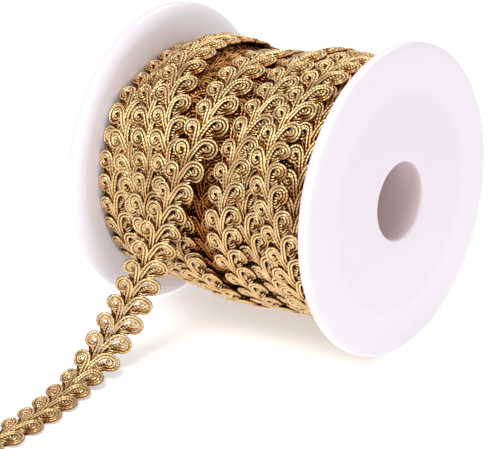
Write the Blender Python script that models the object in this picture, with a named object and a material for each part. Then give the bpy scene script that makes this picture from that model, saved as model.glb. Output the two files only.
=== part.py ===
import math

import bpy
import numpy as np

# Gimp braid trim wound on a moulded spool, with one loose end.
# X runs along the spool's axis, Z is up and the floor is z = 0.
# Sizes are in millimetres and are turned into metres when a mesh is made.

MM = 0.001

# Spool
FLANGE_RADIUS = 40.0
SPOOL_HALF_WIDTH = 38.0
FLANGE_INNER_FACE = 33.6
BORE_RADIUS = 10.0
HUB_RADIUS = 12.5
SEAM_GAP = 0.3
RIM_STEPS = 72
FLAT_STEPS = 2
AXIS_HEIGHT = FLANGE_RADIUS * math.cos(2.0 * math.pi * FLAT_STEPS / RIM_STEPS)

# Trim
TRIM_WIDTH = 12.0
TRIM_THICKNESS = 2.0
TRIM_PITCH = 5.9
SCALLOP_DEPTH = 1.3
CLEARANCE = 0.3

# Winding
UNDER_LAYER_RADIUS = 32.2
COURSE_CROWN = 2.3
WINDING_COLUMNS = 41
SAG = 0.7
SAG_ANGLE = -60.0

# The outer turns as they lie. Angles are degrees above the level line at the
# spool's front, and the table gives each turn's place along the axis there.
COURSE_ANGLES = (180.0, 90.0, 60.0, 40.0, 20.0, 5.0, -12.0, -35.0, -90.0)
COURSES = (
    # name, rise, back, top, 60, 40, 20, 5, -12, -35, under
    ("far_left", 33.6, -26.5, -28.3, -28.3, -27.2, -22.6, -20.0, -18.0, -19.0, -24.0),
    ("left", 34.2, -19.0, -23.5, -22.8, -19.3, -16.6, -17.6, -17.0, -12.0, -13.0),
    ("mid_left", 34.3, -12.0, -20.0, -16.7, -13.2, -9.5, -8.5, -9.0, -5.0, -4.5),
    ("last_turn", 34.6, -2.0, -1.6, -2.2, -4.8, -7.0, -8.5, -9.0, -3.0, -1.0),
    ("middle", 34.8, 9.0, 10.6, 11.0, 8.8, 7.6, 6.7, 7.0, 9.4, 9.0),
    ("mid_right", 33.9, 17.5, 15.5, 14.8, 13.6, 13.0, 14.0, 17.4, 20.6, 17.5),
    ("right", 34.7, 24.0, 22.4, 20.9, 18.8, 21.6, 24.6, 26.4, 27.0, 25.5),
    ("far_right", 33.6, 29.0, 28.8, 28.6, 28.8, 28.8, 28.8, 28.9, 28.6, 29.0),
)

# The loose end's middle line, from where it lies on the winding to its cut end.
LOOSE_END_ROUTE = (
    # along the axis, depth, height
    (-2.7, -23.8, 64.5),
    (-4.0, -28.9, 58.4),
    (-6.2, -32.4, 51.6),
    (-9.1, -34.5, 44.5),
    (-12.2, -36.1, 37.3),
    (-15.5, -37.7, 30.2),
    (-18.8, -39.6, 23.1),
    (-21.9, -42.4, 16.3),
    (-24.5, -46.6, 10.0),
    (-26.6, -52.4, 4.9),
    (-27.6, -59.6, 1.9),
    (-27.5, -67.5, 1.05),
    (-27.6, -75.5, 1.05),
    (-28.8, -83.4, 1.05),
    (-30.8, -91.4, 1.05),
    (-33.6, -99.2, 1.05),
    (-37.2, -106.6, 1.05),
    (-41.4, -113.4, 1.05),
)


def make_material(name, color, roughness, metallic):
    material = bpy.data.materials.new(name)
    material.use_nodes = True
    shader = material.node_tree.nodes["Principled BSDF"]
    shader.inputs["Base Color"].default_value = (*color, 1.0)
    shader.inputs["Roughness"].default_value = roughness
    shader.inputs["Metallic"].default_value = metallic
    return material


def make_object(name, points, faces, material, collection):
    mesh = bpy.data.meshes.new(name)
    mesh.from_pydata([tuple(c * MM for c in p) for p in points], [], faces)
    mesh.validate()
    mesh.update()
    mesh.materials.append(material)
    part = bpy.data.objects.new(name, mesh)
    collection.objects.link(part)
    return part


def arc(center_x, center_r, radius, start, end, steps):
    angles = np.linspace(math.radians(start), math.radians(end), steps)
    return [(center_x + radius * math.cos(a), center_r + radius * math.sin(a)) for a in angles]


def spool_profile():
    # Closed outline of the right half, as distance along the axis and radius
    lip = 2.2
    outline = [(SEAM_GAP / 2.0, BORE_RADIUS)]
    outline += arc(SPOOL_HALF_WIDTH - lip, BORE_RADIUS + lip, lip, -90.0, 0.0, 5)
    outline += [(SPOOL_HALF_WIDTH, 21.0), (SPOOL_HALF_WIDTH, 31.0)]
    outline += [(37.75, 33.5), (37.2, 36.0), (36.6, 38.2), (36.0, 39.5), (35.3, FLANGE_RADIUS)]
    outline += [(34.6, FLANGE_RADIUS), (34.0, 39.4), (33.7, 38.2), (FLANGE_INNER_FACE, 36.5)]
    outline += [(FLANGE_INNER_FACE, 24.0), (FLANGE_INNER_FACE, HUB_RADIUS)]
    outline += [(SEAM_GAP / 2.0, HUB_RADIUS)]
    return outline


def spool_half(name, side, material, collection):
    outline = spool_profile()
    count = len(outline)
    points = []
    faces = []
    for step in range(RIM_STEPS):
        angle = 2.0 * math.pi * step / RIM_STEPS - math.pi / 2.0
        for along, radius in outline:
            depth = radius * math.cos(angle)
            height = AXIS_HEIGHT + radius * math.sin(angle)
            points.append((side * along, depth, max(height, 0.0)))
    for step in range(RIM_STEPS):
        near = step * count
        far = ((step + 1) % RIM_STEPS) * count
        for i in range(count):
            j = (i + 1) % count
            face = (near + i, far + i, far + j, near + j)
            faces.append(face if side < 0.0 else face[::-1])
    return make_object(name, points, faces, material, collection)


def course_place(places, angle):
    # Place along the axis of a turn at an angle, smooth all the way round
    knots = [a if a <= 180.0 else a - 360.0 for a in COURSE_ANGLES]
    order = np.argsort(knots)
    xs = np.array([knots[i] for i in order])
    ys = np.array([places[i] for i in order])
    xs = np.concatenate((xs - 360.0, xs, xs + 360.0))
    ys = np.concatenate((ys, ys, ys))
    span = np.searchsorted(xs, angle, side="right") - 1
    t = (angle - xs[span]) / (xs[span + 1] - xs[span])
    slopes = np.gradient(ys, xs)
    step = xs[span + 1] - xs[span]
    h00 = 2 * t ** 3 - 3 * t ** 2 + 1
    h10 = t ** 3 - 2 * t ** 2 + t
    h01 = -2 * t ** 3 + 3 * t ** 2
    h11 = t ** 3 - t ** 2
    start = h00 * ys[span] + h10 * step * slopes[span]
    return float(start + h01 * ys[span + 1] + h11 * step * slopes[span + 1])


def smooth_route(route, spacing):
    # A smooth line through the route's points, with even steps along it
    knots = np.array(route)
    gaps = np.linalg.norm(np.diff(knots, axis=0), axis=1)
    place = np.concatenate(([0.0], np.cumsum(gaps)))
    slopes = np.gradient(knots, place, axis=0)
    line = []
    for i in range(len(knots) - 1):
        step = place[i + 1] - place[i]
        for t in np.arange(0.0, 1.0, 0.02):
            a = (2 * t ** 3 - 3 * t ** 2 + 1) * knots[i]
            b = (t ** 3 - 2 * t ** 2 + t) * step * slopes[i]
            c = (3 * t ** 2 - 2 * t ** 3) * knots[i + 1]
            d = (t ** 3 - t ** 2) * step * slopes[i + 1]
            line.append(a + b + c + d)
    line.append(knots[-1])
    line = np.array(line)
    length = np.concatenate(([0.0], np.cumsum(np.linalg.norm(np.diff(line, axis=0), axis=1))))
    count = int(round(length[-1] / spacing))
    wanted = np.linspace(0.0, length[-1], count + 1)
    even = np.stack([np.interp(wanted, length, line[:, k]) for k in range(3)], axis=1)
    return even, wanted


def ease(value, low, high):
    t = min(1.0, max(0.0, (value - low) / (high - low)))
    return t * t * (3.0 - 2.0 * t)


def route_frames(line):
    # Tangent, outward face and width direction at each point of the loose end
    tangents = np.gradient(line, axis=0)
    tangents /= np.linalg.norm(tangents, axis=1)[:, None]
    faces = []
    for point in line:
        radial = np.array([0.0, point[1], point[2] - AXIS_HEIGHT])
        radial /= np.linalg.norm(radial)
        mix = ease(AXIS_HEIGHT - point[2], 0.0, AXIS_HEIGHT - 4.0)
        faces.append((1.0 - mix) * radial + mix * np.array([0.0, 0.0, 1.0]))
    faces = np.array(faces)
    faces -= tangents * np.sum(faces * tangents, axis=1)[:, None]
    faces /= np.linalg.norm(faces, axis=1)[:, None]
    widths = np.cross(faces, tangents)
    return tangents, faces, widths


def winding_radius(along, angle, seat):
    radius = UNDER_LAYER_RADIUS
    half = TRIM_WIDTH / 2.0
    for name, rise, *places in COURSES:
        if name == "last_turn" and -70.0 < angle < 50.0:
            continue
        offset = abs(along - course_place(places, angle)) / half
        if offset < 1.0:
            crown = COURSE_CROWN * (1.0 - math.sqrt(1.0 - offset ** 2))
            radius = max(radius, rise - crown)
    turn = (angle - SAG_ANGLE) / 40.0
    radius += SAG * math.exp(-turn * turn)
    # The last turn lies in a seat pressed into the turns below it
    for center, angle_here, reach in seat:
        if abs(angle - angle_here) < 3.0 and abs(along - center) < TRIM_WIDTH / 2.0 + 1.2:
            radius = min(radius, reach)
    return radius


def wound_trim(line, frames, material, collection):
    widths = frames[2]
    seat = []
    for point, width in zip(line, widths):
        angle = math.degrees(math.atan2(point[2] - AXIS_HEIGHT, -point[1]))
        radius = math.hypot(point[1], point[2] - AXIS_HEIGHT)
        if radius > 42.0:
            break
        reach = radius - TRIM_THICKNESS / 2.0 - CLEARANCE - 0.25
        seat.append((point[0], angle, reach))
    end = FLANGE_INNER_FACE - CLEARANCE
    inner = HUB_RADIUS + CLEARANCE
    columns = list(np.linspace(-end, end, WINDING_COLUMNS))
    ring = len(columns) + 2
    points = []
    faces = []
    for step in range(RIM_STEPS):
        angle = 360.0 * step / RIM_STEPS - 180.0
        c = math.cos(math.radians(angle))
        s = math.sin(math.radians(angle))
        row = [(-end, inner)]
        for along in columns:
            radius = winding_radius(along, angle, seat)
            if abs(along) > end - 0.5:
                radius -= 0.9
            row.append((along, radius))
        row.append((end, inner))
        for along, radius in row:
            points.append((along, -radius * c, AXIS_HEIGHT + radius * s))
    for step in range(RIM_STEPS):
        near = step * ring
        far = ((step + 1) % RIM_STEPS) * ring
        for i in range(ring):
            j = (i + 1) % ring
            faces.append((near + i, near + j, far + j, far + i))
    return make_object("wound_trim", points, faces, material, collection)


def loose_end(line, places, frames, material, collection):
    widths = frames[2]
    outward = frames[1]
    half = TRIM_THICKNESS / 2.0
    points = []
    faces = []
    count = 10
    for point, place, width, face in zip(line, places, widths, outward):
        notch = (1.0 - abs(math.sin(math.pi * place / TRIM_PITCH))) ** 1.5
        other = (1.0 - abs(math.cos(math.pi * place / TRIM_PITCH))) ** 1.5
        right = TRIM_WIDTH / 2.0 - SCALLOP_DEPTH * notch
        left = TRIM_WIDTH / 2.0 - SCALLOP_DEPTH * other
        section = (
            (-left, -0.5 * half), (-0.6 * left, -half), (0.0, -half), (0.6 * right, -half),
            (right, -0.5 * half), (right, 0.5 * half), (0.6 * right, half), (0.0, 0.8 * half),
            (-0.6 * left, half), (-left, 0.5 * half),
        )
        for across, out in section:
            points.append(tuple(point + width * across + face * out))
    for i in range(len(line) - 1):
        for k in range(count):
            m = (k + 1) % count
            a = i * count
            b = (i + 1) * count
            faces.append((a + k, a + m, b + m, b + k))
    last = (len(line) - 1) * count
    faces.append(tuple(range(count))[::-1])
    faces.append(tuple(last + k for k in range(count)))
    return make_object("loose_end", points, faces, material, collection)


def main():
    for old in list(bpy.data.objects):
        bpy.data.objects.remove(old, do_unlink=True)
    collection = bpy.data.collections.new("gimp_braid_trim_on_spool")
    bpy.context.scene.collection.children.link(collection)
    plastic = make_material("white_plastic", (0.86, 0.83, 0.86), 0.42, 0.0)
    gold = make_material("gold_gimp", (0.60, 0.40, 0.15), 0.45, 0.6)
    loose_gold = make_material("gold_gimp_loose", (0.66, 0.46, 0.19), 0.42, 0.6)
    spool_half("spool_half_left", -1.0, plastic, collection)
    spool_half("spool_half_right", 1.0, plastic, collection)
    line, places = smooth_route(LOOSE_END_ROUTE, TRIM_PITCH / 4.0)
    frames = route_frames(line)
    wound_trim(line, frames, gold, collection)
    loose_end(line, places, frames, loose_gold, collection)


main()
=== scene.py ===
import math

import bmesh
import bpy
import numpy as np
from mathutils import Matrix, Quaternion, Vector


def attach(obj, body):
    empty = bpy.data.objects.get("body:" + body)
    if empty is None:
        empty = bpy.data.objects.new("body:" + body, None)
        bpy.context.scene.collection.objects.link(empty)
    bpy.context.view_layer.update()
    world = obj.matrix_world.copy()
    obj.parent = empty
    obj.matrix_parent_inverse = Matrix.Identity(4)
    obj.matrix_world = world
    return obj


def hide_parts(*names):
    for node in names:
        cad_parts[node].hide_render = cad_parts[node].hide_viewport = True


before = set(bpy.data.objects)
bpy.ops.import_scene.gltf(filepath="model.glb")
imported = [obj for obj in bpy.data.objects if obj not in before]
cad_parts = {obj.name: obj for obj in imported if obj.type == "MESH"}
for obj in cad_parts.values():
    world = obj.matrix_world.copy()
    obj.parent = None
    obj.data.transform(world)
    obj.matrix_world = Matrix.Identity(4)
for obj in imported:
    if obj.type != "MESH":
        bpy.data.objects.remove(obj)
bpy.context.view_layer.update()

mm = 0.001
axisHeight = 39.392  # mm, the spool's axis above the floor
chance = np.random.RandomState(11)

studio = {
    "cameraPlace": (345.72, -420.13, 310.75),  # mm
    "cameraAim": (-11.36, -3.33, 23.74),
    "cameraLean": -8.19,  # degrees about the line of sight
    "lens": 172.9,
    "sensorWidth": 36.0,
    "clip": (0.01, 20.0),  # m
    "lampAim": (0, -20, 30),  # mm
    "worldTone": (1.0, 1.0, 1.0, 1.0),
    "worldStrength": 0.5,
    "lights": (  # name, place in mm, size in mm, watts, tone
        ("keyLight", (60, -430, 760), 420, 3.4, (1.0, 0.985, 0.96)),
        ("nearLight", (34, -110, 200), 70, 0.05, (1.0, 1.0, 1.0)),  # lights the far flange
        ("fillLight", (620, -500, 430), 600, 1.2, (1.0, 1.0, 1.0)),
        ("backLight", (-160, 620, 620), 500, 2.2, (1.0, 1.0, 1.0)),
    ),
}


def makeCamera():
    data = bpy.data.cameras.new("camera")
    data.sensor_fit = "HORIZONTAL"
    data.sensor_width = studio["sensorWidth"]
    data.lens = studio["lens"]
    data.clip_start, data.clip_end = studio["clip"]
    camera = bpy.data.objects.new("camera", data)
    place = Vector(studio["cameraPlace"]) * mm
    look = (Vector(studio["cameraAim"]) * mm - place).to_track_quat("-Z", "Y")
    lean = Quaternion((0, 0, 1), math.radians(studio["cameraLean"]))
    camera.rotation_mode = "QUATERNION"
    camera.rotation_quaternion = look @ lean
    camera.location = place
    bpy.context.scene.collection.objects.link(camera)
    bpy.context.scene.camera = camera


def makeLights():
    aim = Vector(studio["lampAim"]) * mm
    for name, place, size, watts, tone in studio["lights"]:
        data = bpy.data.lights.new(name, "AREA")
        data.shape = "DISK"
        data.size = size * mm
        data.energy = watts
        data.color = tone
        lamp = bpy.data.objects.new(name, data)
        lamp.visible_camera = False
        lamp.location = Vector(place) * mm
        lamp.rotation_mode = "QUATERNION"
        lamp.rotation_quaternion = (aim - lamp.location).to_track_quat("-Z", "Y")
        bpy.context.scene.collection.objects.link(lamp)
    world = bpy.data.worlds.new("softWhite")
    world.use_nodes = True
    background = world.node_tree.nodes["Background"]
    background.inputs["Color"].default_value = studio["worldTone"]
    background.inputs["Strength"].default_value = studio["worldStrength"]
    bpy.context.scene.world = world
    bpy.context.scene.view_settings.view_transform = "Standard"


class Wire:
    # A node's output that can be used in sums
    def __init__(self, tree, socket):
        self.tree = tree
        self.socket = socket

    def sum(self, kind, *values):
        node = self.tree.nodes.new("ShaderNodeMath")
        node.operation = kind
        for slot, value in zip(node.inputs, values):
            feed(self.tree, slot, value)
        return Wire(self.tree, node.outputs[0])

    def __add__(self, other):
        return self.sum("ADD", self, other)

    def __sub__(self, other):
        return self.sum("SUBTRACT", self, other)

    def __rsub__(self, other):
        return self.sum("SUBTRACT", other, self)

    def __mul__(self, other):
        return self.sum("MULTIPLY", self, other)

    def sine(self):
        return self.sum("SINE", self)


def feed(tree, slot, value):
    if isinstance(value, Wire):
        tree.links.new(value.socket, slot)
    else:
        slot.default_value = value


class Finish:
    # A material and short ways to add its nodes
    def __init__(self, name):
        self.material = bpy.data.materials.new(name)
        self.material.use_nodes = True
        self.tree = self.material.node_tree
        self.tree.nodes.clear()

    def node(self, kind, settings=None, sockets=None, output=0):
        node = self.tree.nodes.new("ShaderNode" + kind)
        for key, value in (settings or {}).items():
            setattr(node, key, value)
        for key, value in (sockets or {}).items():
            feed(self.tree, node.inputs[key], value)
        return Wire(self.tree, node.outputs[output]) if node.outputs else node

    def place(self):
        return self.node("TexCoord", output=3)  # Object coordinates

    def mix(self, share, first, second):
        return self.node("Mix", {"data_type": "RGBA"}, {0: share, 6: first, 7: second}, 2)

    def noise(self, scale, detail=3.0):
        return self.node("TexNoise", None, {"Vector": self.place(), "Scale": scale, "Detail": detail})

    def bump(self, strength, distance, height):
        return self.node("Bump", None, {"Strength": strength, "Distance": distance, "Height": height})

    def split(self, vector):
        node = self.tree.nodes.new("ShaderNodeSeparateXYZ")
        feed(self.tree, node.inputs["Vector"], vector)
        return [Wire(self.tree, output) for output in node.outputs]

    def close(self, sockets):
        shader = self.node("BsdfPrincipled", None, sockets)
        self.node("OutputMaterial", None, {"Surface": shader})
        return self.material


goldThread = {
    "shadow": (0.05, 0.004, 0.001, 1.0),
    "russet": (0.26, 0.065, 0.006, 1.0),
    "middle": (0.38, 0.175, 0.042, 1.0),
    "bright": (0.84, 0.595, 0.305, 1.0),
    "blends": (("russet", 4.0, 0.0), ("middle", 2.6, 0.6), ("bright", 2.2, 1.15)),  # tone, slope, start
    "depthShare": 0.45,  # what the painted light and shade of a spot is made of
    "crownShare": 0.27,
    "highCrownShare": 0.28,  # more for the crowns that lie furthest out
    "twistShare": 0.05,
    "patchShare": 0.5,
    "patchScale": 260.0,
    "roughness": 0.19,
    "patchRoughness": 0.16,
    "metallic": 0.88,
    "wrapsPerMm": 1.1,
    "strands": 2.0,
    "bump": (0.28, 0.0001),  # strength and distance
}


def makeGold():
    # Painted light and shade: pale as a painted highlight on the crowns of the cords, brown to red as
    # painted shade in the grooves and on what lies deep
    finish = Finish("goldThread")
    depth = finish.node("Attribute", {"attribute_name": "depth"}, output=2)
    along, around, _ = finish.split(finish.node("UVMap", {"uv_map": "UVMap"}))
    wraps = along * goldThread["wrapsPerMm"] + around * goldThread["strands"]
    twist = (wraps * (2 * math.pi)).sine()
    crown = (around * (2 * math.pi)).sine()
    patches = finish.noise(goldThread["patchScale"])
    # Painted light: low cords and the sides of each cord are shaded, and the crowns and the wraps are lit
    crownShare = depth * goldThread["highCrownShare"] + goldThread["crownShare"]
    light = depth * goldThread["depthShare"] + crown * crownShare
    light = light + twist * goldThread["twistShare"] + (patches - 0.5) * goldThread["patchShare"]
    colour = goldThread["shadow"]
    for name, slope, start in goldThread["blends"]:
        colour = finish.mix(light * slope - start, colour, goldThread[name])
    return finish.close({
        "Base Color": colour,
        "Metallic": goldThread["metallic"],
        "Roughness": patches * goldThread["patchRoughness"] + goldThread["roughness"],
        "Normal": finish.bump(*goldThread["bump"], twist),
    })


whitePlastic = {
    "tone": (0.80, 0.75, 0.805, 1.0),
    "toneTwo": (0.78, 0.73, 0.785, 1.0),
    "discTone": (0.76, 0.70, 0.757, 1.0),  # painted shade, inside the outer band of a flange
    # painted shade on the wall of the bore
    "boreTone": (0.76, 0.625, 0.645, 1.0),
    "discEdge": (900.0, 0.005),  # the radius squared where this tone ends, in mm, and how sharply
    "boreEdge": (104.0, 0.25),
    "cloud": (18.0, 2.0),  # scale and detail
    "grain": (1400.0, 2.0),
    "roughness": 0.33,
    "cloudRoughness": 0.1,
    "bump": (0.08, 0.0002),
}


def makePlastic():
    finish = Finish("whitePlastic")
    cloud = finish.noise(*whitePlastic["cloud"])
    grain = finish.noise(*whitePlastic["grain"])
    _, across, up = finish.split(finish.place())
    across = across * (1 / mm)
    up = up * (1 / mm) - axisHeight
    reach = across * across + up * up
    colour = finish.mix(cloud, whitePlastic["tone"], whitePlastic["toneTwo"])
    # The disc and the bore get darker tones as painted shade
    for name in ("disc", "bore"):
        edge, sharpness = whitePlastic[name + "Edge"]
        colour = finish.mix((edge - reach) * sharpness, colour, whitePlastic[name + "Tone"])
    return finish.close({
        "Base Color": colour,
        "Roughness": cloud * whitePlastic["cloudRoughness"] + whitePlastic["roughness"],
        "Normal": finish.bump(*whitePlastic["bump"], grain),
    })


# One repeat of the braid: u mm along it, v mm across it (right is +), h mm above what it lies on
braid = {
    "pitch": 5.9,
    "spread": 0.42,  # half the distance between two cords of a pair
    "radius": 0.42,
    "heartRadius": 0.2604,
    "curlRadius": 0.3696,
    "threadRadius": 0.24,
    "underRadius": 0.504,
    "loopPath": (
        (-1.5, 0.45, 0.3), (-0.6, 0.2, 0.55), (0.5, 0.0, 0.85), (1.7, 0.1, 1.02), (2.9, 0.36, 1.1),
        (4.1, 0.65, 1.15), (5.3, 1.05, 1.18), (6.2, 1.7, 1.2), (6.7, 2.75, 1.2), (6.8, 3.9, 1.15),
        (6.4, 4.95, 1.05), (5.6, 5.55, 0.98), (4.6, 5.6, 0.9), (3.8, 5.1, 0.8), (3.35, 4.2, 0.65),
        (3.0, 3.2, 0.5), (2.3, 2.2, 0.4), (1.0, 1.3, 0.34),
    ),
    "innerLoop": (
        (5.75, 2.6, 0.85), (5.75, 3.4, 1.0), (5.45, 4.1, 1.08), (4.95, 4.35, 1.08), (4.5, 4.0, 1.0),
        (4.3, 3.3, 0.9), (4.05, 2.5, 0.75), (3.3, 1.8, 0.6), (2.2, 1.3, 0.45),
    ),
    "loopHeart": (  # a cord wound round this line fills the loop but for its eye
        (5.1, 3.5, 1.1), (4.8, 3.0, 1.2), (4.25, 2.55, 1.18), (3.6, 2.15, 1.05), (2.95, 1.75, 0.85),
        (2.2, 1.35, 0.6),
    ),
    "heartReach": 0.32,
    "heartTurns": 5,
    "scrollPath": (
        (-3.1, 0.1, 0.3), (-2.2, -0.22, 0.6), (-0.9, -0.5, 0.85), (0.5, -0.78, 1.02), (1.9, -1.05, 1.12),
        (3.05, -1.4, 1.18), (3.9, -2.1, 1.2), (4.1, -3.15, 1.18), (3.6, -4.15, 1.12), (2.5, -4.55, 1.05),
        (1.35, -4.25, 0.98), (0.8, -3.3, 0.9), (1.05, -2.4, 0.8), (1.8, -1.95, 0.6),
    ),
    "scrollCurl": (
        (1.8, -2.3, 0.65), (2.6, -2.2, 0.85), (3.1, -2.75, 1.02), (2.95, -3.4, 1.12), (2.35, -3.65, 1.16),
        (1.85, -3.25, 1.12), (2.0, -2.8, 1.05),
    ),
    "crossThreads": (
        ((1.45, 1.0, 0.55), (1.5, 1.9, 1.05), (1.8, 2.9, 1.2), (2.3, 3.7, 0.85)),
        ((2.0, 1.05, 0.6), (2.1, 1.9, 1.1), (2.45, 2.8, 1.2), (3.0, 3.6, 0.9)),
        ((-0.4, -1.1, 0.5), (-0.2, -1.7, 0.95), (0.3, -2.4, 1.0), (0.9, -2.9, 0.8)),
    ),
    "underCords": (
        ((-0.4, 0.9, 0.2), (1.2, 1.1, 0.22), (2.6, 1.3, 0.26), (3.6, 1.45, 0.3)),
        ((0.2, 1.5, 0.2), (1.4, 2.2, 0.24), (2.4, 3.1, 0.28), (3.2, 4.0, 0.4)),
        ((-2.2, -0.9, 0.2), (-0.6, -1.3, 0.22), (0.8, -1.6, 0.24), (2.2, -1.7, 0.26)),
        ((-2.0, -1.6, 0.2), (-0.8, -2.3, 0.22), (0.2, -3.0, 0.24), (1.2, -3.5, 0.26)),
    ),
    "points": {
        "loopPath": 24, "scrollPath": 22, "innerLoop": 13, "loopHeart": 37, "scrollCurl": 13,
        "crossThreads": 6, "underCords": 5,
    },
    "sides": 5,
    "coarsePoints": {"loopPath": 13, "scrollPath": 11, "innerLoop": 8, "scrollCurl": 8},
    "coarseSides": 4,
    "endRadius": 0.7,  # share of the radius left at a cord's ends
    "depthFrom": 0.3,  # mm up, where the depth attribute starts to grow; what lies lower gets painted shade
    "depthOver": 0.8,
    "varies": {"swing": 0.05, "growth": 0.04, "cordGrowth": 0.012, "along": 0.04, "height": 0.05},
}


def smoothLine(points, count, fineness=8):
    # A smooth curve through the points, then evenly spaced along its length
    knots = np.array(points, float)
    padded = np.vstack((2 * knots[0] - knots[1], knots, 2 * knots[-1] - knots[-2]))
    fine = []
    for i in range(1, len(padded) - 2):
        a, b, c, d = padded[i - 1:i + 3]
        square = 2 * a - 5 * b + 4 * c - d
        cube = 3 * b - a - 3 * c + d
        for t in np.linspace(0, 1, fineness, endpoint=False):
            fine.append(0.5 * (2 * b + (c - a) * t + square * t * t + cube * t ** 3))
    fine.append(padded[-2])
    fine = np.array(fine)
    length = lengthAlong(fine)
    at = np.linspace(0, length[-1], count)
    return np.stack([np.interp(at, length, fine[:, k]) for k in range(fine.shape[1])], 1)


def lengthAlong(line):
    return np.concatenate(([0], np.cumsum(np.linalg.norm(np.diff(line, axis=0), axis=1))))


def unit(vectors):
    return vectors / np.linalg.norm(vectors, axis=1)[:, None]


def easeTo(value, low, high):
    share = np.clip((value - low) / (high - low), 0.0, 1.0)
    return share * share * (3.0 - 2.0 * share)


def easeBetween(value, start, full, fading, end):
    # Grows from 0 at start to 1 at full, and falls to 0 again from fading to end
    return easeTo(value, start, full) * easeTo(end - value, 0.0, end - fading)


def besideLine(line, offset):
    # The same line moved sideways in the flat of the trim
    step = unit(np.gradient(line[:, :2], axis=0))
    moved = line.copy()
    moved[:, 0] -= step[:, 1] * offset
    moved[:, 1] += step[:, 0] * offset
    return moved


def woundLine(line, reach, turns):
    # A thread wound round the line
    step = unit(np.gradient(line, axis=0))
    side = unit(np.cross(step, (0.0, 0.0, 1.0)))
    angle = np.linspace(0.0, turns * 2 * math.pi, len(line))[:, None]
    return line + reach * (np.cos(angle) * side + np.sin(angle) * np.cross(side, step))


def repeatCords(fine):
    # Every cord of one repeat: its line and its radius
    radius = braid["radius"]
    points = braid["points" if fine else "coarsePoints"]
    cords = []
    for name in ("loopPath", "scrollPath"):
        line = smoothLine(braid[name], points[name])
        cords.extend((besideLine(line, side * braid["spread"]), radius) for side in (-1, 1))
    cords.append((smoothLine(braid["innerLoop"], points["innerLoop"]), radius))
    curl = smoothLine(braid["scrollCurl"], points["scrollCurl"])
    if not fine:
        return cords + [(curl, radius)]
    heart = smoothLine(braid["loopHeart"], points["loopHeart"])
    cords.append((woundLine(heart, braid["heartReach"], braid["heartTurns"]), braid["heartRadius"]))
    cords.append((curl, braid["curlRadius"]))
    for name, size in (("crossThreads", "threadRadius"), ("underCords", "underRadius")):
        cords.extend((smoothLine(line, points[name]), braid[size]) for line in braid[name])
    return cords


def newTubes():
    return {"points": [], "faces": [], "uvs": [], "depth": [], "count": 0}


def addTube(tubes, line, normal, radius, sides, depth):
    # One closed tube along the line
    count = len(line)
    step = unit(np.gradient(line, axis=0))
    side = unit(np.cross(step, normal))
    up = np.cross(side, step)
    angles = np.arange(sides) * (2 * math.pi / sides)
    ring = (np.cos(angles)[None, :, None] * side[:, None, :]
            + np.sin(angles)[None, :, None] * up[:, None, :])
    size = np.full(count, radius)
    size[[0, -1]] *= braid["endRadius"]
    points = line[:, None, :] + ring * size[:, None, None]
    first = tubes["count"]
    length = lengthAlong(line)
    for i in range(count - 1):
        a = first + i * sides
        low, high = length[i], length[i + 1]
        for k in range(sides):
            m = (k + 1) % sides
            tubes["faces"].append((a + k, a + m, a + sides + m, a + sides + k))
            here, there = k / sides, (k + 1) / sides
            tubes["uvs"].extend(((low, here), (low, there), (high, there), (high, here)))
    last = first + (count - 1) * sides
    tubes["faces"].append(tuple(first + k for k in range(sides))[::-1])
    tubes["faces"].append(tuple(last + k for k in range(sides)))
    tubes["uvs"].extend([(0.0, 0.0)] * sides + [(length[-1], 0.0)] * sides)
    tubes["points"].append(points.reshape(-1, 3))
    tubes["depth"].append(np.repeat(depth, sides))
    tubes["count"] += count * sides


def makeTubes(name, tubes, material):
    points = np.concatenate(tubes["points"]) * mm
    mesh = bpy.data.meshes.new(name)
    mesh.from_pydata(points.tolist(), [], tubes["faces"])
    layer = mesh.uv_layers.new(name="UVMap")  # mm along the cord, and round it from 0 to 1
    layer.data.foreach_set("uv", np.array(tubes["uvs"], np.float32).ravel())
    shade = mesh.attributes.new("depth", "FLOAT", "POINT")
    shade.data.foreach_set("value", np.concatenate(tubes["depth"]).astype(np.float32))
    mesh.polygons.foreach_set("use_smooth", [True] * len(mesh.polygons))
    mesh.materials.append(material)
    mesh.update()
    piece = bpy.data.objects.new(name, mesh)
    bpy.context.scene.collection.objects.link(piece)
    print(name, len(mesh.polygons), "faces")
    return piece


bedHalf = 4.0  # mm, how far to each side a bed's heights are taken


def makeBed(line, normal, left, right):
    # Where a strip of braid lies: its middle, its face, and the heights of what is under either side
    step = unit(np.gradient(line, axis=0))
    normal = unit(normal - step * np.sum(normal * step, axis=1)[:, None])
    return {
        "line": line, "normal": normal, "width": np.cross(step, normal),
        "left": left, "right": right, "length": lengthAlong(line),
    }


def alongBed(bed, key, at):
    return np.stack([np.interp(at, bed["length"], bed[key][:, k]) for k in range(3)], 1)


def onBed(bed, cord, start):
    at = start + cord[:, 0]
    normal = alongBed(bed, "normal", at)
    across = cord[:, 1]
    left = np.interp(at, bed["length"], bed["left"])
    right = np.interp(at, bed["length"], bed["right"])
    height = left + (right - left) * (across + bedHalf) / (2 * bedHalf) + cord[:, 2]
    middle = alongBed(bed, "line", at)
    return middle + alongBed(bed, "width", at) * across[:, None] + normal * height[:, None], normal


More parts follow.
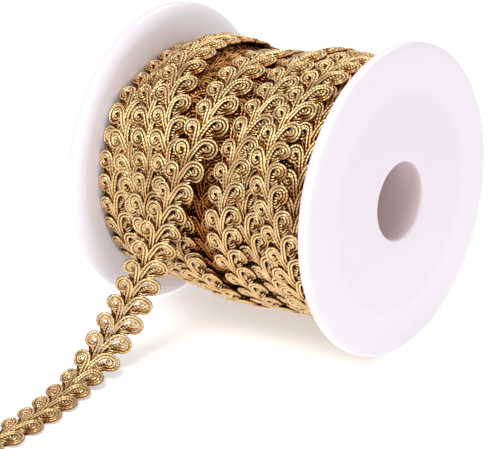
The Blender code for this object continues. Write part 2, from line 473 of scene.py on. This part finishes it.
def layBraid(tubes, bed, starts, fine, tone, limit=None):
    # Repeats the cords along the bed, one repeat at each start
    cords = repeatCords(fine)
    sides = braid["sides" if fine else "coarseSides"]
    varies = braid["varies"]

    def vary(key):
        return chance.uniform(-varies[key], varies[key])

    for start in starts:
        swing = vary("swing")
        growth = 1.0 + vary("growth")
        for line, radius in cords:
            cord = line.copy()
            cord[:, 1] = cord[:, 1] * (growth + vary("cordGrowth"))
            cord[:, 0] = cord[:, 0] + swing * np.abs(cord[:, 1]) + vary("along")
            cord[:, 2] = cord[:, 2] + vary("height")
            points, normal = onBed(bed, cord, start)
            if limit is not None:
                points[:, 0] = np.clip(points[:, 0], -limit, limit)
            # The depth attribute carries the painted shade: lower cords, and courses laid with a smaller
            # tone, come out darker
            depth = np.clip((cord[:, 2] - braid["depthFrom"]) / braid["depthOver"], 0.0, 1.0) * tone
            addTube(tubes, points, normal, radius, sides, depth)


looseEnd = {
    "route": (  # mm, the middle of the strip, from the winding to its cut end
        (-2.7, -23.8, 64.5), (-4.0, -28.9, 58.4), (-6.2, -32.4, 51.6), (-9.1, -34.5, 44.5),
        (-12.2, -36.1, 37.3), (-15.5, -37.7, 30.2), (-18.8, -39.6, 23.1), (-21.9, -42.4, 16.3),
        (-24.5, -46.6, 10.0), (-26.6, -52.4, 4.9), (-27.6, -59.6, 1.9), (-27.5, -67.5, 1.05),
        (-27.6, -75.5, 1.05), (-28.8, -83.4, 1.05), (-30.8, -91.4, 1.05), (-33.6, -99.2, 1.05),
        (-37.2, -106.6, 1.05), (-41.4, -113.4, 1.05),
    ),
    "linePoints": 280,
    "cordPoints": 40,
    "width": 12.0,
    "base": -0.75,  # underside of the braid below the route
    "levelHeight": 4.0,  # its face is turned up from here down
    "hangFace": (0.58, -0.67, 0.46),  # the strip twists to face this way where it hangs
    "hangHeights": (1.4, 9.0, 30.0, 46.0),  # from the lowest to the highest
    "seatAngles": (6.0, 42.0),  # degrees above level at the front, where it comes to lie on the winding
    "turnEnd": 346,  # degrees, where the last turn ends under the others
    "phase": 2.9,
    "endSpace": 8.0,  # mm left without a start at the far end of the bed
    "splitSpace": 2.0,  # a repeat that starts this near the winding belongs to the last turn
}


def looseLine():
    # The route from the cut end up, with the face of the strip at each point
    line = smoothLine(looseEnd["route"][::-1], looseEnd["linePoints"])
    radial = unit((line - np.array([0.0, 0.0, axisHeight])) * np.array([0.0, 1.0, 1.0]))
    level = easeTo(axisHeight - line[:, 2], 0.0, axisHeight - looseEnd["levelHeight"])[:, None]
    face = (1.0 - level) * radial + level * np.array([0.0, 0.0, 1.0])
    hang = easeBetween(line[:, 2], *looseEnd["hangHeights"])[:, None]
    face = (1.0 - hang) * face + hang * np.array(looseEnd["hangFace"])
    step = unit(np.gradient(line, axis=0))
    face = unit(face - step * np.sum(face * step, axis=1)[:, None])
    return line, face, radial


def lastTurnBed(ring):
    # One bed from the cut end up to the winding and on round it
    line, face, radial = looseLine()
    offset = line - np.array([0.0, 0.0, axisHeight])
    angle = np.degrees(np.arctan2(offset[:, 2], -offset[:, 1]))
    reach = np.linalg.norm(offset[:, 1:], axis=1)
    hold = easeTo(angle, *looseEnd["seatAngles"])
    left = np.interp(angle, ring["degrees"], ring["left"])
    right = np.interp(angle, ring["degrees"], ring["right"])
    seat = np.interp(angle, ring["degrees"], ring["reach"]) + (left + right) / 2
    below = face * (looseEnd["base"] * (1 - hold))[:, None]
    base = line + below + radial * (hold * (seat - reach))[:, None]
    tilt = hold * (right - left) / 2
    keep = (ring["degrees"] > angle[-1] + 1.0) & (ring["degrees"] < looseEnd["turnEnd"])
    middle = (ring["left"] + ring["right"])[keep] / 2
    turn = ring["line"][keep] + ring["normal"][keep] * middle[:, None]
    ringTilt = (ring["right"] - ring["left"])[keep] / 2
    whole = np.concatenate((base, turn))
    normals = np.concatenate((face, ring["normal"][keep]))
    tilts = np.concatenate((tilt, ringTilt))
    return makeBed(whole, normals, -tilts, tilts), float(lengthAlong(line)[-1])


def layLastTurn(ring):
    # The last turn and the loose end are one strip; they are split where the route starts
    bed, length = lastTurnBed(ring)
    loose, turn = newTubes(), newTubes()
    starts = np.arange(looseEnd["phase"], bed["length"][-1] - looseEnd["endSpace"], braid["pitch"])
    isLoose = starts < length - looseEnd["splitSpace"]
    layBraid(loose, bed, starts[isLoose], True, 1.0)
    layBraid(turn, bed, starts[~isLoose], True, 1.0)
    return loose, turn, length


def makeLooseEnd(loose, length, material):
    piece = makeTubes("looseEndBraid", loose, material)
    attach(piece, "root")
    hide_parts("loose_end")
    line = smoothLine(looseEnd["route"], looseEnd["cordPoints"])
    length * mm
    print("loose end", round(length, 1), "mm")


winding = {
    "innerRadius": 29.6,
    "braidHeight": 1.05,
    "press": 0.3,  # how far a course sinks into the one below
    "halfWidth": 33.15,  # cords stay this near the middle, inside the flanges
    "covers": (-5.6, 6.6),  # mm to the left and right of a course's middle
    "rests": ((-5.5, -1.5), (-1.5, 1.5), (1.5, 6.5)),  # its left side, middle and right side
    "bridge": 2.0,  # mm a side may hang below the line over what carries the rest
    "evenOver": 5,  # steps round the ring, either way
    "underCourses": (-30.2, -27.2, -22.4, -16.2, -10.4, -4.6, 1.2, 7.0, 12.8, 18.6, 24.0, 27.6),
    "underCap": 31.3,  # no under course's underside lies further out
    "underLimits": (-31.0, 27.6),
    "underSway": 2.0,
    "underTurn": 40.0,  # degrees from one under course's sway to the next one's
    "underPhase": 0.7,
    # the under courses' depth attribute is scaled by this share, so they get painted shade
    "underShade": 0.6,
    "angles": (180, 90, 60, 40, 20, 5, -12, -35, -90),  # above level at the front
    # Bottom one first: name, phase, furthest out that its underside lies, and its places in mm
    # along the spool at those angles
    "courses": (
        ("edge", 4.0, 31.2, (-28.6, -28.6, -28.6, -28.6, -28.6, -28.6, -28.6, -28.6, -28.6)),
        ("farLeft", 0.0, 31.4, (-26.5, -28.3, -28.3, -27.2, -22.6, -20.0, -18.0, -19.0, -24.0)),
        ("left", 1.0, 32.2, (-19.0, -23.5, -22.8, -19.3, -16.6, -17.6, -17.0, -12.0, -13.0)),
        ("midLeft", 2.0, 32.95, (-12.0, -20.0, -16.7, -13.2, -9.5, -8.5, -9.0, -5.0, -4.5)),
        ("farRight", 3.0, 32.3, (29.0, 28.8, 28.6, 28.8, 28.8, 28.8, 28.9, 28.6, 29.0)),
        ("midRight", 0.5, 33.4, (17.5, 15.5, 14.8, 13.6, 13.0, 14.0, 17.4, 20.6, 17.5)),
        ("middle", 1.5, 33.7, (9.0, 10.6, 11.0, 8.8, 7.6, 6.7, 7.0, 9.4, 9.0)),
        ("right", 2.5, 32.8, (24.0, 22.4, 20.9, 18.8, 21.6, 24.6, 26.4, 27.0, 25.5)),
        ("last", 0.0, 33.7, (-2.8, -2.6, -2.1, -3.3, -6.5, -8.5, -9.0, -3.0, -1.0)),
    ),
    "lastDrop": 1.2,  # the last turn sinks between its neighbours on top
    "dropAngles": (60.0, 110.0, 210.0, 250.0),
    "shadeFrom": 0.4,  # mm below the turns round about, where the painted shade on a cord starts
    "shadeOver": 2.2,
    "shadeWidth": 3.5,  # mm that count as round about
    "deepest": 0.2,  # share of the depth attribute left on what lies deepest
    "leftDip": 3.0,  # the turns lie lower at the left end, but for the front
    "leftEnd": (21.0, 31.0),
    "frontRise": 3.6,
    "frontAngles": (-60.0, -25.0, 43.0, 75.0),
    "rightDip": 3.0,  # and at the right end below
    "rightEnd": (19.0, 30.0),
    "lowAngles": (-175.0, -120.0, -55.0, -25.0),
    "topDips": ((1.3, -11.0, 11.0), (-1.4, 13.0, 9.0)),  # on top: how deep, where along, how wide
    "topAngles": (60.0, 110.0, 140.0, 180.0),
}
gridHalf = 34.0
gridStep = 0.5
gridX = np.arange(-gridHalf, gridHalf + 0.01, gridStep)
degreeStep = 2.0
degrees = np.arange(0, 360, degreeStep)
ringOverlap = 40


def ringPlaces(places):
    # Smooth closed curve through the places, given at winding["angles"]
    order = np.argsort(winding["angles"])
    angles = np.array(winding["angles"], float)[order]
    values = np.array(places, float)[order]
    angles = np.concatenate((angles[-2:] - 360, angles, angles[:3] + 360))
    values = np.concatenate((values[-2:], values, values[:3]))
    slopes = np.gradient(values, angles)
    at = (degrees + 90.0) % 360.0 - 90.0
    i = np.clip(np.searchsorted(angles, at, side="right") - 1, 0, len(angles) - 2)
    gap = angles[i + 1] - angles[i]
    t = (at - angles[i]) / gap
    return ((1 + 2 * t) * (1 - t) ** 2 * values[i] + t * (1 - t) ** 2 * gap * slopes[i]
            + t * t * (3 - 2 * t) * values[i + 1] + t * t * (t - 1) * gap * slopes[i + 1])


def evenOut(values):
    # Moving average round the ring
    reach = winding["evenOver"]
    padded = np.concatenate((values[-reach:], values, values[:reach]))
    return np.convolve(padded, np.ones(2 * reach + 1) / (2 * reach + 1), "valid")


def restHeights(heights, middle):
    # How far out a course's left and right sides lie at one angle
    tops = []
    for low, high in winding["rests"]:
        part = heights[(gridX >= middle + low) & (gridX <= middle + high)]
        tops.append(part.max() if len(part) else None)
    left, centre, right = (top if top is not None else 0.0 for top in tops)
    bridge = winding["bridge"]
    low = max(left, 2 * centre - right - bridge) if tops[0] is not None else centre
    high = max(right, 2 * centre - left - bridge) if tops[2] is not None else centre
    return low, high


def ringBed(places, heights, cap):
    # Lays a course on what is there, and adds it to the heights
    sides = np.array([restHeights(heights[i], places[i]) for i in range(len(degrees))])
    left, right = (np.minimum(evenOut(side) - winding["press"], cap) for side in sides.T)
    low, high = winding["covers"]
    for i in range(len(degrees)):
        inside = (gridX >= places[i] + low) & (gridX <= places[i] + high)
        across = gridX[inside] - places[i]
        top = left[i] + (right[i] - left[i]) * (across + bedHalf) / (2 * bedHalf)
        heights[i][inside] = np.maximum(heights[i][inside], top + winding["braidHeight"])
    turn = np.arange(-ringOverlap, 361 + ringOverlap, degreeStep)
    wrap = ((turn % 360) / degreeStep).astype(int)
    angle = np.radians(turn)
    mean = float(np.mean(left + right) / 2)
    line = np.stack((places[wrap], -mean * np.cos(angle), mean * np.sin(angle) + axisHeight), 1)
    normal = np.stack((0 * angle, -np.cos(angle), np.sin(angle)), 1)
    bed = makeBed(line, normal, left[wrap] - mean, right[wrap] - mean)
    bed["degrees"] = turn
    bed["reach"] = np.full(len(turn), mean)
    return bed


def ringStarts(bed, phase):
    # Whole repeats round a closed course
    first, last = np.interp((0, 360), bed["degrees"], bed["length"])
    count = round((last - first) / braid["pitch"])
    return first + phase + np.arange(count) * (last - first) / count


def paintDeepShade(tubes, heights):
    # Painted shade: darker where the turns round about lie further out
    points = np.concatenate(tubes["points"])
    up = points[:, 2] - axisHeight
    angle = np.degrees(np.arctan2(up, -points[:, 1]))
    turn = (angle / degreeStep).astype(int) % len(degrees)
    across = np.clip(((points[:, 0] + gridHalf) / gridStep).astype(int), 0, len(gridX) - 1)
    around = heights.copy()
    steps = round(winding["shadeWidth"] / gridStep)
    for shift in range(-steps, steps + 1):
        around = np.maximum(around, np.roll(heights, shift, axis=1))
    below = around[turn, across] - np.hypot(points[:, 1], up)
    shade = np.clip(1.0 - (below - winding["shadeFrom"]) / winding["shadeOver"], 0.0, 1.0)
    deepest = winding["deepest"]
    tubes["depth"] = [np.concatenate(tubes["depth"]) * (deepest + (1.0 - deepest) * shade)]


def sagTurns(tubes):
    # Moves the turns in where the winding is not round
    points = np.concatenate(tubes["points"])
    along = points[:, 0]
    up = points[:, 2] - axisHeight
    angle = np.degrees(np.arctan2(up, -points[:, 1]))
    front = easeBetween(angle, *winding["frontAngles"])
    low = easeBetween(angle, *winding["lowAngles"])
    top = easeBetween(angle, *winding["topAngles"])
    dip = easeTo(-along, *winding["leftEnd"]) * (winding["leftDip"] - winding["frontRise"] * front)
    dip += easeTo(along, *winding["rightEnd"]) * low * winding["rightDip"]
    for deep, middle, width in winding["topDips"]:
        dip += deep * top * np.exp(-((along - middle) / width) ** 2)
    share = 1.0 - dip / np.hypot(points[:, 1], up)
    points[:, 1] *= share
    points[:, 2] = axisHeight + up * share
    tubes["points"] = [points]


def layUnderTurns(laid, heights):
    under = list(laid.values())
    for number, middle in enumerate(winding["underCourses"]):
        sway = np.sin(np.radians(degrees + winding["underTurn"] * number))
        places = np.clip(middle + winding["underSway"] * sway, *winding["underLimits"])
        bed = ringBed(places, heights, winding["underCap"])
        starts = ringStarts(bed, winding["underPhase"] * number)
        layBraid(under[number % 2], bed, starts, False, winding["underShade"], winding["halfWidth"])


def makeWinding(material):
    heights = np.full((len(degrees), len(gridX)), winding["innerRadius"])
    laid = {"underTurnsOne": newTubes(), "underTurnsTwo": newTubes()}
    layUnderTurns(laid, heights)
    for name, phase, cap, places in winding["courses"]:
        if name == "last":
            cap = cap - winding["lastDrop"] * easeBetween(degrees, *winding["dropAngles"])
        bed = ringBed(ringPlaces(places), heights, cap)
        if name == "last":
            loose, laid["lastTurn"], length = layLastTurn(bed)
            continue
        laid[name + "Turn"] = newTubes()
        layBraid(laid[name + "Turn"], bed, ringStarts(bed, phase), True, 1.0, winding["halfWidth"])
    makeLooseEnd(loose, length, material)
    for name, tubes in laid.items():
        paintDeepShade(tubes, heights)
        sagTurns(tubes)
        piece = makeTubes(name, tubes, material)
        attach(piece, "root")
        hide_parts("wound_trim")
    print("winding radius", round(float(heights.max()), 2), round(float(heights.mean()), 2))


def spun(name, profile, steps, material):
    # Turns a closed profile of (along, radius) pairs about the spool's axis
    work = bmesh.new()
    points = [work.verts.new((x * mm, 0.0, r * mm)) for x, r in profile]
    edges = [work.edges.new(pair) for pair in zip(points, points[1:] + points[:1])]
    bmesh.ops.spin(work, geom=points + edges, cent=(0, 0, 0), axis=(1, 0, 0), dvec=(0, 0, 0),
                   angle=2 * math.pi, steps=steps, use_merge=True, use_duplicate=False)
    bmesh.ops.remove_doubles(work, verts=work.verts[:], dist=1e-7)
    bmesh.ops.recalc_face_normals(work, faces=work.faces[:])
    bmesh.ops.translate(work, verts=work.verts[:], vec=(0, 0, axisHeight * mm))
    for vert in work.verts:
        vert.co.z = max(vert.co.z, 0.0)
    for face in work.faces:
        face.smooth = True
    mesh = bpy.data.meshes.new(name)
    work.to_mesh(mesh)
    work.free()
    mesh.materials.append(material)
    piece = bpy.data.objects.new(name, mesh)
    bpy.context.scene.collection.objects.link(piece)
    return piece


innerTurns = {
    "profile": (  # along and radius in mm
        (-33.3, 12.8), (33.3, 12.8), (33.3, 28.2), (22.0, 30.1), (-20.0, 30.1), (-31.0, 27.4), (-33.3, 27.2),
    ),
    "steps": 96,
    # near black: painted shade on the inner turns
    "tone": (0.05, 0.011, 0.004, 1.0),
    "toneTwo": (0.015, 0.003, 0.002, 1.0),
    "cloudScale": 500.0,
    "roughness": 0.85,
    "shine": 0.2,
    "bump": (0.6, 0.0004),
}


def makeInnerTurns():
    # The inner turns, coloured near black as painted shade, seen only through the gaps
    finish = Finish("innerTurns")
    cloud = finish.noise(innerTurns["cloudScale"])
    material = finish.close({
        "Base Color": finish.mix(cloud, innerTurns["tone"], innerTurns["toneTwo"]),
        "Roughness": innerTurns["roughness"],
        "Specular IOR Level": innerTurns["shine"],
        "Normal": finish.bump(*innerTurns["bump"], cloud),
    })
    piece = spun("innerTurns", innerTurns["profile"], innerTurns["steps"], material)
    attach(piece, "root")


spool = {
    "profile": (  # along and radius in mm, one half, from the middle out and back
        (0.15, 10.0), (12.0, 10.0), (24.0, 10.0), (35.8, 10.0), (37.3, 10.0), (37.75, 10.12), (37.95, 10.4),
        (38.0, 10.8), (38.0, 12.6), (38.0, 16.0), (38.0, 21.0), (38.0, 26.0), (38.0, 31.0), (38.0, 34.0),
        (38.0, 36.5), (37.98, 38.2), (37.93, 39.0), (37.82, 39.5), (37.62, 39.85), (37.3, 40.02),
        (36.7, 40.05), (36.2, 40.05), (35.7, 39.95), (35.2, 39.7), (34.7, 39.2), (34.25, 38.5),
        (33.85, 37.6), (33.6, 36.5), (33.6, 30.0), (33.6, 24.0), (33.6, 12.5), (0.15, 12.5),
    ),
    "steps": 144,
}


def makeSpool():
    material = makePlastic()
    for side, name, node in ((1, "spoolRight", "spool_half_right"), (-1, "spoolLeft", "spool_half_left")):
        profile = [(side * x, r) for x, r in spool["profile"]]
        piece = spun(name, profile, spool["steps"], material)
        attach(piece, "root")
        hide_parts(node)


paleFloor = {
    "halfSide": 4.0,  # m
    "tone": (0.96, 0.96, 0.96, 1.0),
    "toneTwo": (0.9504, 0.9504, 0.9504, 1.0),
    "cloud": (3.0, 2.0),
    "roughness": 0.9,
    "glowTone": (1.0, 1.0, 1.0, 1.0),
    "glow": 0.4,  # softens the shadows on it
}


def makeFloor():
    finish = Finish("paleFloor")
    cloud = finish.noise(*paleFloor["cloud"])
    material = finish.close({
        "Base Color": finish.mix(cloud, paleFloor["tone"], paleFloor["toneTwo"]),
        "Roughness": paleFloor["roughness"],
        "Emission Color": paleFloor["glowTone"],
        "Emission Strength": paleFloor["glow"],
    })
    work = bmesh.new()
    bmesh.ops.create_grid(work, x_segments=1, y_segments=1, size=paleFloor["halfSide"])
    mesh = bpy.data.meshes.new("floor")
    work.to_mesh(mesh)
    work.free()
    mesh.materials.append(material)
    floor = bpy.data.objects.new("floor", mesh)
    bpy.context.scene.collection.objects.link(floor)


makeCamera()
makeLights()
print("camera and lights")
makeFloor()
print("floor laid")
makeWinding(makeGold())
makeInnerTurns()
print("winding laid")
makeSpool()
print("spool made")
